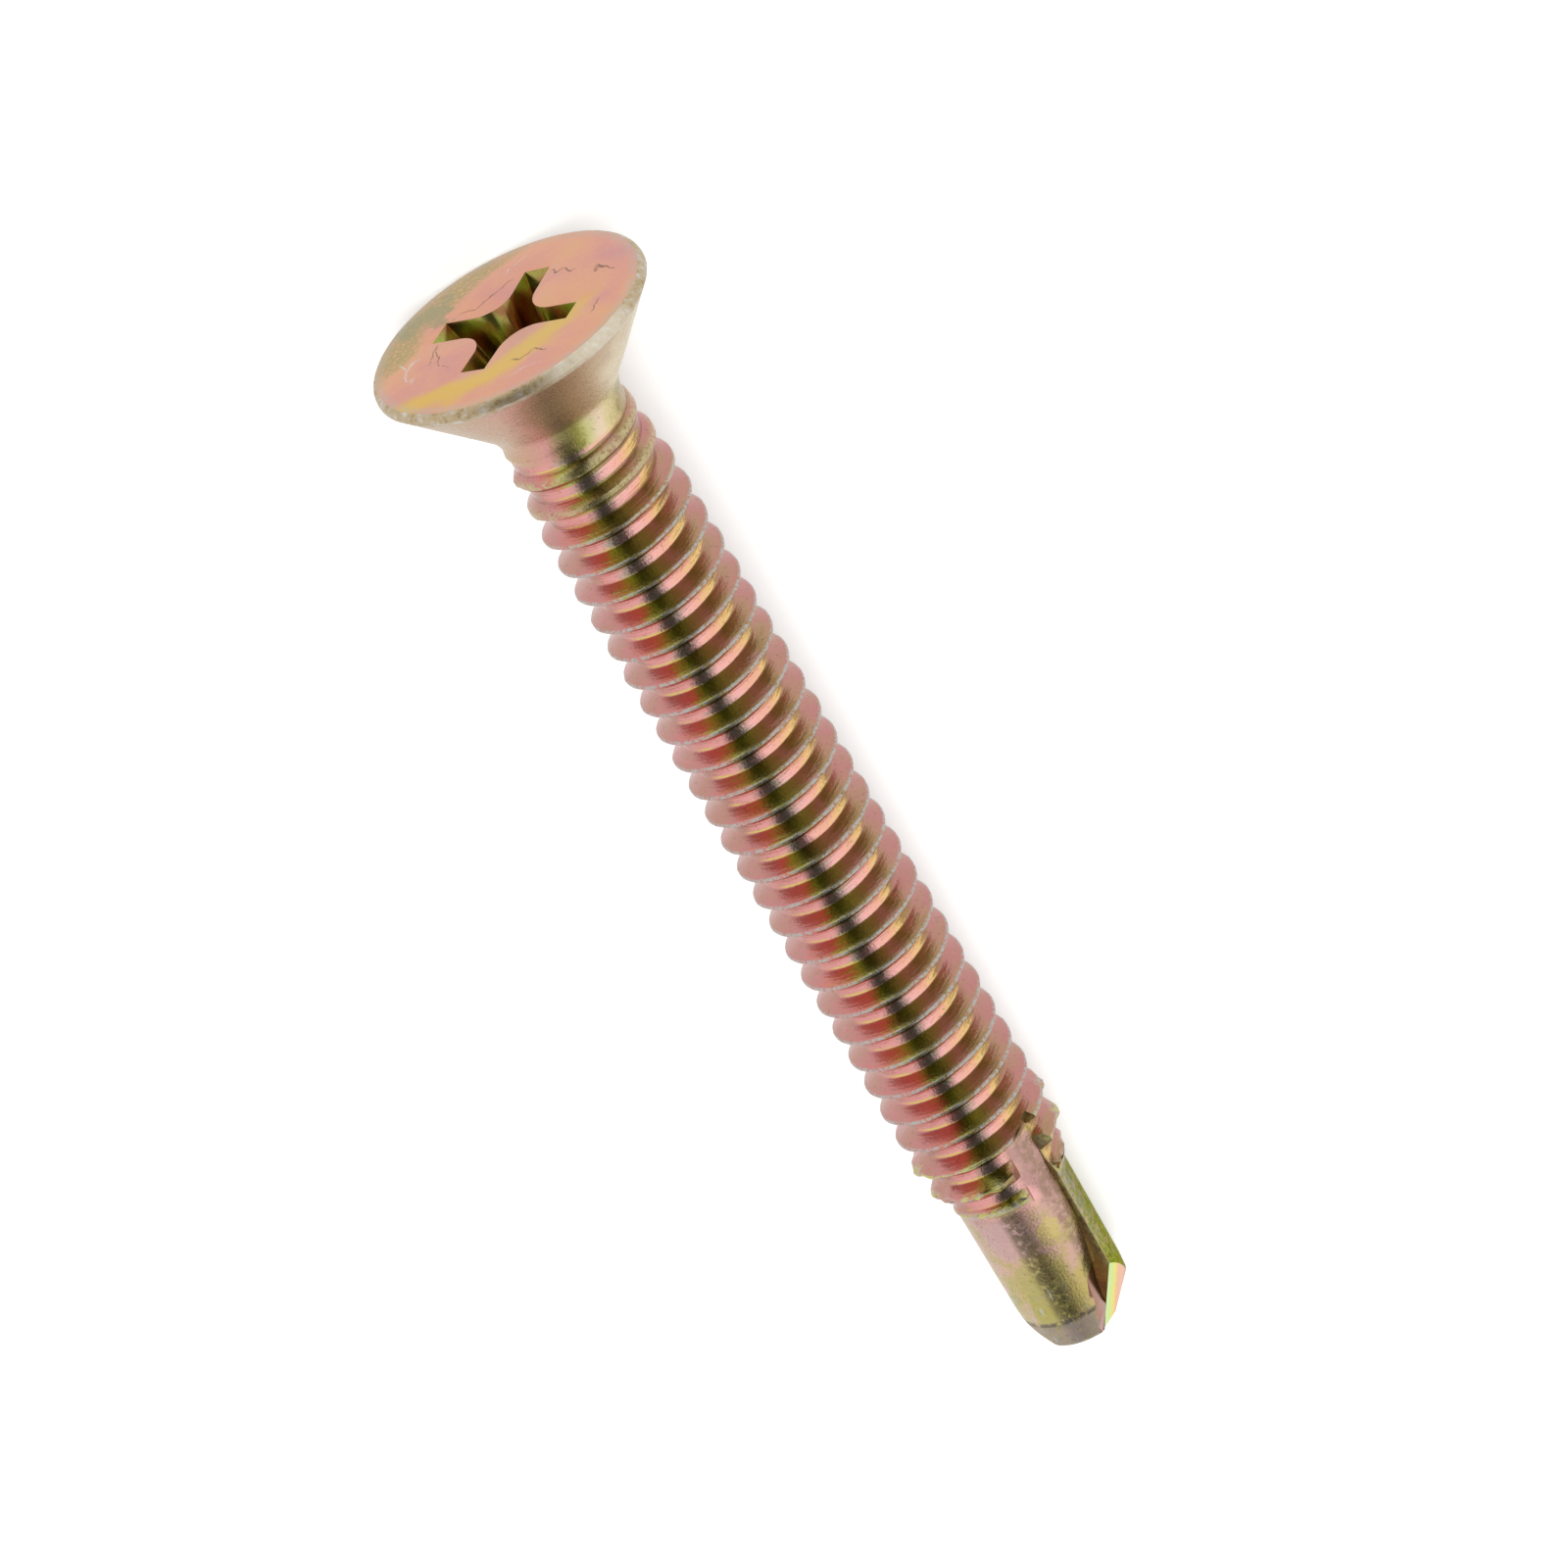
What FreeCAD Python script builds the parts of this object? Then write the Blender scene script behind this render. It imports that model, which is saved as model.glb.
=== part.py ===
import FreeCAD, Part
import Sketcher
import math
import os

doc = FreeCAD.newDocument("self_drilling_screw")

# Driving dimensions in millimetres and degrees. Lengths along the screw start at the flat of the head,
# and those of the drill point are measured back from the tip.
sizes = [
    ("head_dia", 8.9, "largest diameter of the countersunk head"),
    ("rim_height", 0.3, "flat face of the head to the start of the cone"),
    ("edge_round", 0.24, "rounding of the rim at the flat face"),
    ("head_angle", 82.0, "included angle of the countersunk cone"),
    ("neck_dia", 3.94, "plain neck under the head"),
    ("neck_round", 1.2, "fillet between the cone and the neck"),
    ("crest_dia", 4.65, "outside diameter over the thread, No. 10"),
    ("crest_rise", 3.0, "length over which the rolled crest rises from the neck"),
    ("length", 39.1, "overall length, flat of the head to the tip"),
    ("last_back", 7.714, "last full crest, back from the tip"),
    ("end_slope", 12.2, "angle at which the last crests fall away"),
    ("thread_back", 6.3, "end of the last crest, back from the tip"),
    ("end_flank", 60.0, "angle of the last flank to the axis"),
    ("core_dia", 3.6, "drill point, and the root of the thread"),
    ("bevel_back", 1.74, "start of the bevel on the lands, back from the tip"),
    ("bevel_end_back", 0.7, "end of that bevel, back from the tip"),
    ("bevel_dia", 3.0, "diameter at the end of the bevel"),
    ("recess_span", 4.76, "cross recess over two wings, at the face"),
    ("recess_wing", 0.82, "width of a wing at the face"),
    ("recess_corner", 1.08, "rounding between the wings at the face"),
    ("recess_depth", 2.1, "depth of the straight wings"),
    ("floor_span", 3.3, "cross recess over two wings, at that depth"),
    ("floor_wing", 0.6, "width of a wing at that depth"),
    ("floor_corner", 0.62, "rounding between the wings at that depth"),
    ("recess_pit", 2.75, "depth of the point at the centre of the recess"),
    ("recess_turn", 41.0, "turn of the recess about the axis"),
    ("flute_turn", 45.0, "turn of the cutting wall of the flute about the axis"),
    ("flute_back", 8.3, "where the flute first meets the thread, back from the tip"),
    ("shoulder_back", 4.5, "end of the shallow run-out of the flute, back from the tip"),
    ("waist_back", 2.7, "where the flute starts to fall to the web, back from the tip"),
    ("start_radius", 1.86, "bottom of the flute at its start"),
    ("shoulder_radius", 1.68, "bottom of the flute at the shoulder"),
    ("waist_radius", 1.32, "bottom of the flute at the waist"),
    ("web", 0.23, "half of the web between the flutes at the tip"),
    ("open_start", 76.0, "opening angle of the flute at its start and shoulder"),
    ("open_waist", 71.0, "opening angle of the flute at the waist"),
    ("open_end", 62.0, "opening angle of the flute at the tip"),
    ("lip_back", 2.6, "outer corner of the cutting lip, back from the tip"),
    ("lip_angle", 31.0, "angle of the lip facet to the axis"),
    ("lip_turn", 62.0, "direction that the lip facet faces, about the axis"),
]
sheet = doc.addObject("Spreadsheet::Sheet", "dims")
sheet.set("A1", "name")
sheet.set("B1", "value")
sheet.set("C1", "meaning")
for row, (alias, value, meaning) in enumerate(sizes, start=2):
    sheet.set("A" + str(row), alias)
    sheet.set("B" + str(row), str(value))
    sheet.set("C" + str(row), meaning)
    sheet.setAlias("B" + str(row), alias)
doc.recompute()


def dim(alias):
    return float(sheet.get(alias))


body = doc.addObject("PartDesign::Body", "screw")


def origin_part(role):
    for item in body.Origin.OriginFeatures:
        if item.Role == role:
            return item


def new_sketch(name, plane):
    sketch = body.newObject("Sketcher::SketchObject", name)
    sketch.AttachmentSupport = [(origin_part(plane), "")]
    sketch.MapMode = "FlatFace"
    return sketch


def drive(sketch, number, name, rule):
    sketch.renameConstraint(number, name)
    sketch.setExpression("Constraints." + name, rule)


def place_point(sketch, geometry, end, across, along, name):
    # a coordinate of 0 keeps the point on that axis, any other is a distance from the origin
    here = sketch.getPoint(geometry, end)
    if across == "0":
        sketch.addConstraint(Sketcher.Constraint("PointOnObject", geometry, end, -2))
    else:
        number = sketch.addConstraint(Sketcher.Constraint("DistanceX", -1, 1, geometry, end, here.x))
        drive(sketch, number, name + "_x", across)
    if along == "0":
        sketch.addConstraint(Sketcher.Constraint("PointOnObject", geometry, end, -1))
    else:
        number = sketch.addConstraint(Sketcher.Constraint("DistanceY", -1, 1, geometry, end, here.y))
        drive(sketch, number, name + "_y", along)


def polygon(sketch, corners):
    # every corner is driven by the sheet, so the first guess is only a round of points
    count = len(corners)
    round_points = []
    for index in range(count):
        turn = 2 * math.pi * index / count
        round_points.append(FreeCAD.Vector(5 + 2 * math.cos(turn), 5 + 2 * math.sin(turn), 0))
    first = sketch.GeometryCount
    for index in range(count):
        sketch.addGeometry(Part.LineSegment(round_points[index], round_points[(index + 1) % count]), False)
    for index in range(count):
        following = first + (index + 1) % count
        sketch.addConstraint(Sketcher.Constraint("Coincident", first + index, 2, following, 1))
    for index, (across, along) in enumerate(corners):
        place_point(sketch, first + index, 1, across, along, "corner" + str(first + index))


# blank: one turned outline from the flat of the head to the tip, straight lines and three arcs
blank_sketch = new_sketch("blank_sketch", "XZ_Plane")
head_r = dim("head_dia") / 2
neck_r = dim("neck_dia") / 2
crest_r = dim("crest_dia") / 2
core_r = dim("core_dia") / 2
edge_r = dim("edge_round")
rim = dim("rim_height")
fillet_r = dim("neck_round")
half = math.radians(dim("head_angle") / 2)
cross = rim + (head_r - neck_r) / math.tan(half)
reach = fillet_r * math.tan(half / 2)
crest_last = dim("length") - dim("last_back")
thread_end = dim("length") - dim("thread_back")
last_r = crest_r - math.tan(math.radians(dim("end_slope"))) * (thread_end - crest_last)
normal = FreeCAD.Vector(0, 0, 1)
rim_circle = Part.Circle(FreeCAD.Vector(head_r - edge_r, edge_r, 0), normal, edge_r)
fillet_circle = Part.Circle(FreeCAD.Vector(neck_r + fillet_r, cross + reach, 0), normal, fillet_r)
cone_foot = FreeCAD.Vector(neck_r + reach * math.sin(half), cross - reach * math.cos(half), 0)
neck_top = FreeCAD.Vector(neck_r, cross + reach, 0)
corners = [
    FreeCAD.Vector(crest_r, neck_top.y + dim("crest_rise"), 0),
    FreeCAD.Vector(crest_r, crest_last, 0),
    FreeCAD.Vector(last_r, thread_end, 0),
    FreeCAD.Vector(core_r, thread_end + (last_r - core_r) / math.tan(math.radians(dim("end_flank"))), 0),
    FreeCAD.Vector(core_r, dim("length") - dim("bevel_back"), 0),
    FreeCAD.Vector(dim("bevel_dia") / 2, dim("length") - dim("bevel_end_back"), 0),
    FreeCAD.Vector(0, dim("length"), 0),
    FreeCAD.Vector(0, 0, 0),
]
face_end = FreeCAD.Vector(head_r - edge_r, 0, 0)
face_line = blank_sketch.addGeometry(Part.LineSegment(corners[-1], face_end), False)
rim_arc = blank_sketch.addGeometry(Part.ArcOfCircle(rim_circle, -math.pi / 2, 0), False)
rim_line = blank_sketch.addGeometry(
    Part.LineSegment(FreeCAD.Vector(head_r, edge_r, 0), FreeCAD.Vector(head_r, rim, 0)), False)
cone_line = blank_sketch.addGeometry(Part.LineSegment(FreeCAD.Vector(head_r, rim, 0), cone_foot), False)
fillet_arc = blank_sketch.addGeometry(Part.ArcOfCircle(fillet_circle, math.pi, math.pi + half), False)
rise_line = blank_sketch.addGeometry(Part.LineSegment(neck_top, corners[0]), False)
shank_lines = []
for near, far in zip(corners[:-1], corners[1:]):
    shank_lines.append(blank_sketch.addGeometry(Part.LineSegment(near, far), False))
crest_line, fall_line, flank_line, drill_line, bevel_line, tip_line, axis_line = shank_lines
blank_sketch.addConstraint([
    Sketcher.Constraint("Coincident", face_line, 1, -1, 1),
    Sketcher.Constraint("Horizontal", face_line),
    Sketcher.Constraint("Tangent", face_line, 2, rim_arc, 1),
    Sketcher.Constraint("Tangent", rim_arc, 2, rim_line, 1),
    Sketcher.Constraint("Vertical", rim_line),
    Sketcher.Constraint("Coincident", rim_line, 2, cone_line, 1),
    Sketcher.Constraint("Tangent", cone_line, 2, fillet_arc, 2),
    Sketcher.Constraint("Coincident", fillet_arc, 1, rise_line, 1),
    Sketcher.Constraint("Coincident", rise_line, 2, crest_line, 1),
    Sketcher.Constraint("Vertical", crest_line),
    Sketcher.Constraint("Coincident", axis_line, 2, -1, 1),
])
for near, far in zip(shank_lines[:-1], shank_lines[1:]):
    blank_sketch.addConstraint(Sketcher.Constraint("Coincident", near, 2, far, 1))
half_cone = "(dims.head_angle / 2 * 1 deg)"
fillet_end = ("(dims.rim_height + (dims.head_dia - dims.neck_dia) / 2 / tan(" + half_cone + ")"
              + " + dims.neck_round * tan(" + half_cone + " / 2))")
last_rule = "(dims.crest_dia / 2 - tan(dims.end_slope * 1 deg) * (dims.last_back - dims.thread_back))"
core_rise = "(" + last_rule + " - dims.core_dia / 2) / tan(dims.end_flank * 1 deg)"
core_top = "dims.length - dims.thread_back + " + core_rise
place_point(blank_sketch, rim_line, 2, "dims.head_dia / 2", "dims.rim_height", "rim_foot")
place_point(blank_sketch, fillet_arc, 1, "dims.neck_dia / 2", fillet_end, "neck_top")
place_point(blank_sketch, crest_line, 2, "dims.crest_dia / 2", "dims.length - dims.last_back", "crest_foot")
place_point(blank_sketch, fall_line, 2, last_rule, "dims.length - dims.thread_back", "fall_foot")
place_point(blank_sketch, flank_line, 2, "dims.core_dia / 2", core_top, "flank_foot")
place_point(blank_sketch, drill_line, 2, "dims.core_dia / 2", "dims.length - dims.bevel_back", "drill_foot")
bevel_foot = "dims.length - dims.bevel_end_back"
place_point(blank_sketch, bevel_line, 2, "dims.bevel_dia / 2", bevel_foot, "bevel_foot")
place_point(blank_sketch, tip_line, 2, "0", "dims.length", "tip_point")
number = blank_sketch.addConstraint(Sketcher.Constraint("Radius", rim_arc, edge_r))
drive(blank_sketch, number, "rim_radius", "dims.edge_round")
number = blank_sketch.addConstraint(Sketcher.Constraint("Angle", cone_line, math.pi / 2 + half))
drive(blank_sketch, number, "cone_slant", "90 deg + " + half_cone)
number = blank_sketch.addConstraint(Sketcher.Constraint("Radius", fillet_arc, fillet_r))
drive(blank_sketch, number, "fillet_radius", "dims.neck_round")
rise = Sketcher.Constraint("DistanceY", fillet_arc, 1, rise_line, 2, dim("crest_rise"))
number = blank_sketch.addConstraint(rise)
drive(blank_sketch, number, "rise_length", "dims.crest_rise")
blank = body.newObject("PartDesign::Revolution", "blank")
blank.Profile = blank_sketch
blank.ReferenceAxis = (blank_sketch, ["V_Axis"])
blank.Angle = 360
doc.recompute()


def level_sketch(name, height, turn):
    sketch = new_sketch(name, "XY_Plane")
    sketch.setExpression("AttachmentOffset.Base.z", height)
    about_axis = FreeCAD.Rotation(FreeCAD.Vector(0, 0, 1), 1)
    sketch.AttachmentOffset = FreeCAD.Placement(FreeCAD.Vector(0, 0, 0), about_axis)
    sketch.setExpression("AttachmentOffset.Rotation.Angle", turn)
    return sketch


def cross_outline(name, height, span, wing, corner):
    # four straight wings, each pair joined by an arc that bulges towards the axis
    sketch = level_sketch(name, height, "dims.recess_turn * 1 deg")
    half_span = dim(span) / 2
    half_wing = dim(wing) / 2
    radius = dim(corner)
    tangent = half_wing + radius
    quarter = math.pi / 2
    ends = []
    for side in range(4):
        turn = FreeCAD.Rotation(normal, 90 * side)
        right = turn.multVec(FreeCAD.Vector(half_span, -half_wing, 0))
        left = turn.multVec(FreeCAD.Vector(half_span, half_wing, 0))
        arc_near = turn.multVec(FreeCAD.Vector(tangent, half_wing, 0))
        arc_far = turn.multVec(FreeCAD.Vector(half_wing, tangent, 0))
        next_right = turn.multVec(FreeCAD.Vector(half_wing, half_span, 0))
        circle = Part.Circle(turn.multVec(FreeCAD.Vector(tangent, tangent, 0)), normal, radius)
        start = quarter * (2 + side)
        ends.append(sketch.addGeometry(Part.LineSegment(right, left), False))
        sketch.addGeometry(Part.LineSegment(left, arc_near), False)
        sketch.addGeometry(Part.ArcOfCircle(circle, start, start + quarter), False)
        sketch.addGeometry(Part.LineSegment(arc_far, next_right), False)
    for side, end in enumerate(ends):
        near_wall = end + 1
        arc = end + 2
        far_wall = end + 3
        along_x = side % 2 == 0
        sketch.addConstraint(Sketcher.Constraint("Vertical" if along_x else "Horizontal", end))
        sketch.addConstraint(Sketcher.Constraint("Horizontal" if along_x else "Vertical", near_wall))
        sketch.addConstraint(Sketcher.Constraint("Vertical" if along_x else "Horizontal", far_wall))
        sketch.addConstraint(Sketcher.Constraint("Coincident", end, 2, near_wall, 1))
        sketch.addConstraint(Sketcher.Constraint("Tangent", near_wall, 2, arc, 2))
        sketch.addConstraint(Sketcher.Constraint("Tangent", arc, 1, far_wall, 1))
        sketch.addConstraint(Sketcher.Constraint("Coincident", far_wall, 2, ends[(side + 1) % 4], 1))
        number = sketch.addConstraint(Sketcher.Constraint("Radius", arc, radius))
        drive(sketch, number, "corner" + str(side), "dims." + corner)
        out = "dims." + span + " / 2"
        wide = "dims." + wing + " / 2"
        signs = [(1, -1), (1, 1), (-1, 1), (-1, -1)][side]
        first_x = out if along_x else wide
        first_y = wide if along_x else out
        first_x = first_x if signs[0] > 0 else "-" + first_x
        first_y = first_y if signs[1] > 0 else "-" + first_y
        place_point(sketch, end, 1, first_x, first_y, "wing" + str(side))
        kind = "DistanceY" if along_x else "DistanceX"
        second = sketch.getPoint(end, 2)
        value = second.y if along_x else second.x
        number = sketch.addConstraint(Sketcher.Constraint(kind, -1, 1, end, 2, value))
        drive(sketch, number, "width" + str(side), wide if value > 0 else "-" + wide)
    return sketch


# recess: tapered wings, and a small cone at the centre of their floor
mouth_sketch = cross_outline("mouth_sketch", "0 mm", "recess_span", "recess_wing", "recess_corner")
floor_sketch = cross_outline("floor_sketch", "dims.recess_depth * 1 mm", "floor_span", "floor_wing",
                             "floor_corner")
doc.recompute()
recess = body.newObject("PartDesign::SubtractiveLoft", "recess")
recess.Profile = mouth_sketch
recess.Sections = [floor_sketch]
recess.Ruled = True
doc.recompute()
pit_sketch = new_sketch("pit_sketch", "XZ_Plane")
pit_r = "(dims.floor_wing / 2 * 1.4 + dims.floor_corner * 0.4)"
polygon(pit_sketch, [
    ("0", "dims.recess_depth - 0.1"),
    (pit_r, "dims.recess_depth - 0.1"),
    ("0", "dims.recess_pit"),
])
pit = body.newObject("PartDesign::Groove", "pit")
pit.Profile = pit_sketch
pit.ReferenceAxis = (pit_sketch, ["V_Axis"])
pit.Angle = 360
doc.recompute()


# flutes: the cutting wall is radial, the other wall opens from the bottom of the flute
def flute_section(name, height, bottom, opening):
    sketch = level_sketch(name, height, "dims.flute_turn * 1 deg")
    polygon(sketch, [
        (bottom, "0"),
        ("dims.crest_dia", "0"),
        (bottom + " + dims.crest_dia * cos(" + opening + ")", "dims.crest_dia * sin(" + opening + ")"),
    ])
    return sketch


open_start = "dims.open_start * 1 deg"
open_waist = "dims.open_waist * 1 deg"
open_end = "dims.open_end * 1 deg"
past_tip = "(dims.web - (dims.waist_radius - dims.web) / dims.waist_back * 0.4)"
start_at = "(dims.length - dims.flute_back) * 1 mm"
shoulder_at = "(dims.length - dims.shoulder_back) * 1 mm"
waist_at = "(dims.length - dims.waist_back) * 1 mm"
flute_sections = [
    flute_section("flute_start_sketch", start_at, "dims.start_radius", open_start),
    flute_section("flute_shoulder_sketch", shoulder_at, "dims.shoulder_radius", open_start),
    flute_section("flute_waist_sketch", waist_at, "dims.waist_radius", open_waist),
    flute_section("flute_tip_sketch", "(dims.length + 0.4) * 1 mm", past_tip, open_end),
]
doc.recompute()
flute = body.newObject("PartDesign::SubtractiveLoft", "flute")
flute.Profile = flute_sections[0]
flute.Sections = flute_sections[1:]
flute.Ruled = True
doc.recompute()
flutes = body.newObject("PartDesign::PolarPattern", "flutes")
flutes.Originals = [flute]
flutes.Axis = (origin_part("Z_Axis"), [""])
flutes.Angle = 360
flutes.Occurrences = 2
body.Tip = flutes
doc.recompute()

# lip facets: a flat on the end of each land, from its cutting edge to the tip
lip_sketch = new_sketch("lip_sketch", "XZ_Plane")
about_axis = FreeCAD.Rotation(FreeCAD.Vector(0, 1, 0), 1)
lip_sketch.AttachmentOffset = FreeCAD.Placement(FreeCAD.Vector(0, 0, 0), about_axis)
lip_sketch.setExpression("AttachmentOffset.Rotation.Angle", "dims.lip_turn * 1 deg")
lip_r = "dims.core_dia / 2 * cos((dims.lip_turn - dims.flute_turn) * 1 deg)"
lip_fall = "tan(dims.lip_angle * 1 deg)"
polygon(lip_sketch, [
    (lip_r + " + " + lip_fall + " * 1.5", "dims.length - dims.lip_back - 1.5"),
    (lip_r + " - " + lip_fall + " * (dims.lip_back + 0.5)", "dims.length + 0.5"),
    ("dims.crest_dia", "dims.length + 0.5"),
    ("dims.crest_dia", "dims.length - dims.lip_back - 1.5"),
])
lip = body.newObject("PartDesign::Pocket", "lip")
lip.Profile = lip_sketch
lip.Type = "Length"
lip.Reversed = True
lip.setExpression("Length", "dims.crest_dia / 2")
doc.recompute()
lips = body.newObject("PartDesign::PolarPattern", "lips")
lips.Originals = [lip]
lips.Axis = (origin_part("Z_Axis"), [""])
lips.Angle = 360
lips.Occurrences = 2
body.Tip = lips
doc.recompute()

# rest: the screw lies on the rim of its head and on its last full crest
lean = math.atan((head_r - crest_r) / (crest_last - rim))
lift = head_r * math.cos(lean) + rim * math.sin(lean)
face_low = -(head_r - edge_r) * math.sin(lean)
tip_far = dim("length") * math.cos(lean)
along = FreeCAD.Vector(math.cos(lean), 0, -math.sin(lean))
side = FreeCAD.Vector(0, 1, 0)
up = FreeCAD.Vector(math.sin(lean), 0, math.cos(lean))
rest_turn = FreeCAD.Rotation(side, up, along, "ZXY")
body.Placement = FreeCAD.Placement(FreeCAD.Vector(-(face_low + tip_far) / 2, 0, lift), rest_turn)
doc.recompute()

for item in doc.Objects:
    bad = [state for state in item.State if state in ("Invalid", "Error")]
    if bad:
        raise RuntimeError(item.Name + " did not build: " + ", ".join(bad))
result = body.Shape
if result.isNull() or not result.isValid() or len(result.Solids) != 1:
    raise RuntimeError("the screw is not one valid solid")
body.Label = "screw"
os.makedirs("parts", exist_ok=True)
result.exportStep("parts/screw.step")
box = result.BoundBox
print("screw", round(result.Volume, 2), "cubic millimetres, lean", round(math.degrees(lean), 3))
print("box", [round(v, 3) for v in (box.XMin, box.XMax, box.YMin, box.YMax, box.ZMin, box.ZMax)])
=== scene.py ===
import math

import bmesh
import bpy
from mathutils import Matrix, Vector, noise


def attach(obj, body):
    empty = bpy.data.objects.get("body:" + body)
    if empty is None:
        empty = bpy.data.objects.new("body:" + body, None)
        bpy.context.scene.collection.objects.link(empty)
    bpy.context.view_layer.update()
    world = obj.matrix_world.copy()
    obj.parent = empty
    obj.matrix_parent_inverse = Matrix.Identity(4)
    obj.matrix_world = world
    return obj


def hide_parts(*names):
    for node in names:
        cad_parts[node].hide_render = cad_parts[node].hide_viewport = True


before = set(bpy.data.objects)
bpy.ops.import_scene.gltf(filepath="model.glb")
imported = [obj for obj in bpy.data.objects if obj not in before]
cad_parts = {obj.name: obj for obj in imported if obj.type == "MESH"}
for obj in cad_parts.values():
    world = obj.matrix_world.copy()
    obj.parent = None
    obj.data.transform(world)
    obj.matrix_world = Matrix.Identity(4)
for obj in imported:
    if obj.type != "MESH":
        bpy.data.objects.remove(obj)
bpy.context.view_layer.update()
print("frame loaded")

# The screw is modelled upright in millimetres: z runs from the flat of the head to the tip.
# It is then laid down as the frame's screw lies, on its head and its last full crest.
lying = {"headRadius": 4.45, "rim": 0.3, "crestRadius": 2.325, "lastCrest": 31.386, "headX": -19.361}
lean = math.atan2(lying["headRadius"] - lying["crestRadius"], lying["lastCrest"] - lying["rim"])
headZ = lying["headRadius"] * math.cos(lean) + lying["rim"] * math.sin(lean)
headCentre = Vector((lying["headX"], 0, headZ)) * 0.001
alongDir = Vector((math.cos(lean), 0, -math.sin(lean)))
sideDir = Vector((0, 1, 0))
upDir = Vector((math.sin(lean), 0, math.cos(lean)))
layTurn = Matrix((sideDir, upDir, alongDir)).transposed()
layDown = Matrix.Translation(headCentre) @ layTurn.to_4x4() @ Matrix.Scale(0.001, 4)


def polar(point):
    return math.hypot(point.x, point.y), math.degrees(math.atan2(point.y, point.x)) % 360


def aroundAxis(radius, turn, place):
    return Vector((radius * math.cos(math.radians(turn)), radius * math.sin(math.radians(turn)), place))


def between(pairs, place):
    # a value read off a short run of (place, value) pairs
    if place <= pairs[0][0]:
        return pairs[0][1]
    for (lowPlace, low), (highPlace, high) in zip(pairs[:-1], pairs[1:]):
        if place <= highPlace:
            return low + (high - low) * (place - lowPlace) / (highPlace - lowPlace)
    return pairs[-1][1]


def moveTo(vert, radius, height):
    old = math.hypot(vert.co.x, vert.co.y)
    vert.co.x *= radius / old
    vert.co.y *= radius / old
    vert.co.z = height


def newObject(name, bm):
    mesh = bpy.data.meshes.new(name)
    bm.to_mesh(mesh)
    bm.free()
    piece = bpy.data.objects.new(name, mesh)
    bpy.context.scene.collection.objects.link(piece)
    return piece


def ringEdges(bm, radius, height):
    found = []
    for edge in bm.edges:
        if all(abs(v.co.z - height) < 1e-4 and abs(polar(v.co)[0] - radius) < 1e-4 for v in edge.verts):
            found.append(edge)
    return found


# turned blank: head, neck, core of the thread and drill point, as (radius, place along the screw)
blankSizes = {
    "outline": [(0, 0), (3.1, 0), (4.45, 0), (4.45, 0.3), (1.97, 3.153), (1.97, 3.85), (1.93, 4.6), (1.9, 5.7),
                (1.78, 6.9), (1.78, 32.3), (1.8, 32.9), (1.75, 37.0), (1.72, 37.45), (1.6, 38.28),
                (1.52, 38.4), (0.3, 39.05), (0, 39.12)],
    "steps": 96,
    "rimRound": 0.24,
    "rimSteps": 5,
    "neckRound": 0.449,
    "neckSteps": 8,
    "dents": 0.012,
    "dentGrain": 1.7,
    "dentedFrom": 4.2,
    "fin": 0.15,
    "finSpan": (32.5, 38.5),
    "finRadius": 1.4,
    "finFrom": -40,
    "finTurn": 46,
    "rubbedEdge": 0.04,
}


def buildBlank():
    bm = bmesh.new()
    verts = [bm.verts.new((r, 0, z)) for r, z in blankSizes["outline"]]
    for first, second in zip(verts[:-1], verts[1:]):
        bm.edges.new((first, second))
    bmesh.ops.spin(bm, geom=bm.verts[:] + bm.edges[:], cent=(0, 0, 0), axis=(0, 0, 1), dvec=(0, 0, 0),
                   angle=2 * math.pi, steps=blankSizes["steps"], use_merge=True)
    bmesh.ops.remove_doubles(bm, verts=bm.verts[:], dist=1e-5)
    rim, rimBack, neck = blankSizes["outline"][2:5]
    bmesh.ops.bevel(bm, geom=ringEdges(bm, *rim), offset=blankSizes["rimRound"],
                    segments=blankSizes["rimSteps"], profile=0.5, affect="EDGES", material=-1)
    bmesh.ops.bevel(bm, geom=ringEdges(bm, *neck), offset=blankSizes["neckRound"],
                    segments=blankSizes["neckSteps"], profile=0.5, affect="EDGES", material=-1)
    for vert in bm.verts:
        radius, turn = polar(vert.co)
        if radius > blankSizes["dentedFrom"] and vert.co.z < rimBack[1] + 0.01:
            dent = blankSizes["dents"] * abs(noise.noise(vert.co * blankSizes["dentGrain"]))
            moveTo(vert, radius - dent, vert.co.z)
        # both lands rise towards their cutting edges
        if blankSizes["finSpan"][0] < vert.co.z < blankSizes["finSpan"][1] and radius > blankSizes["finRadius"]:
            turn = (turn + 180 - blankSizes["finTurn"]) % 180 - 180
            share = max(0, 1 + turn / (blankSizes["finTurn"] - blankSizes["finFrom"]))
            moveTo(vert, radius + blankSizes["fin"] * share ** 2, vert.co.z)
    bmesh.ops.recalc_face_normals(bm, faces=bm.faces[:])
    return newObject("turnedBlank", bm)


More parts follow.
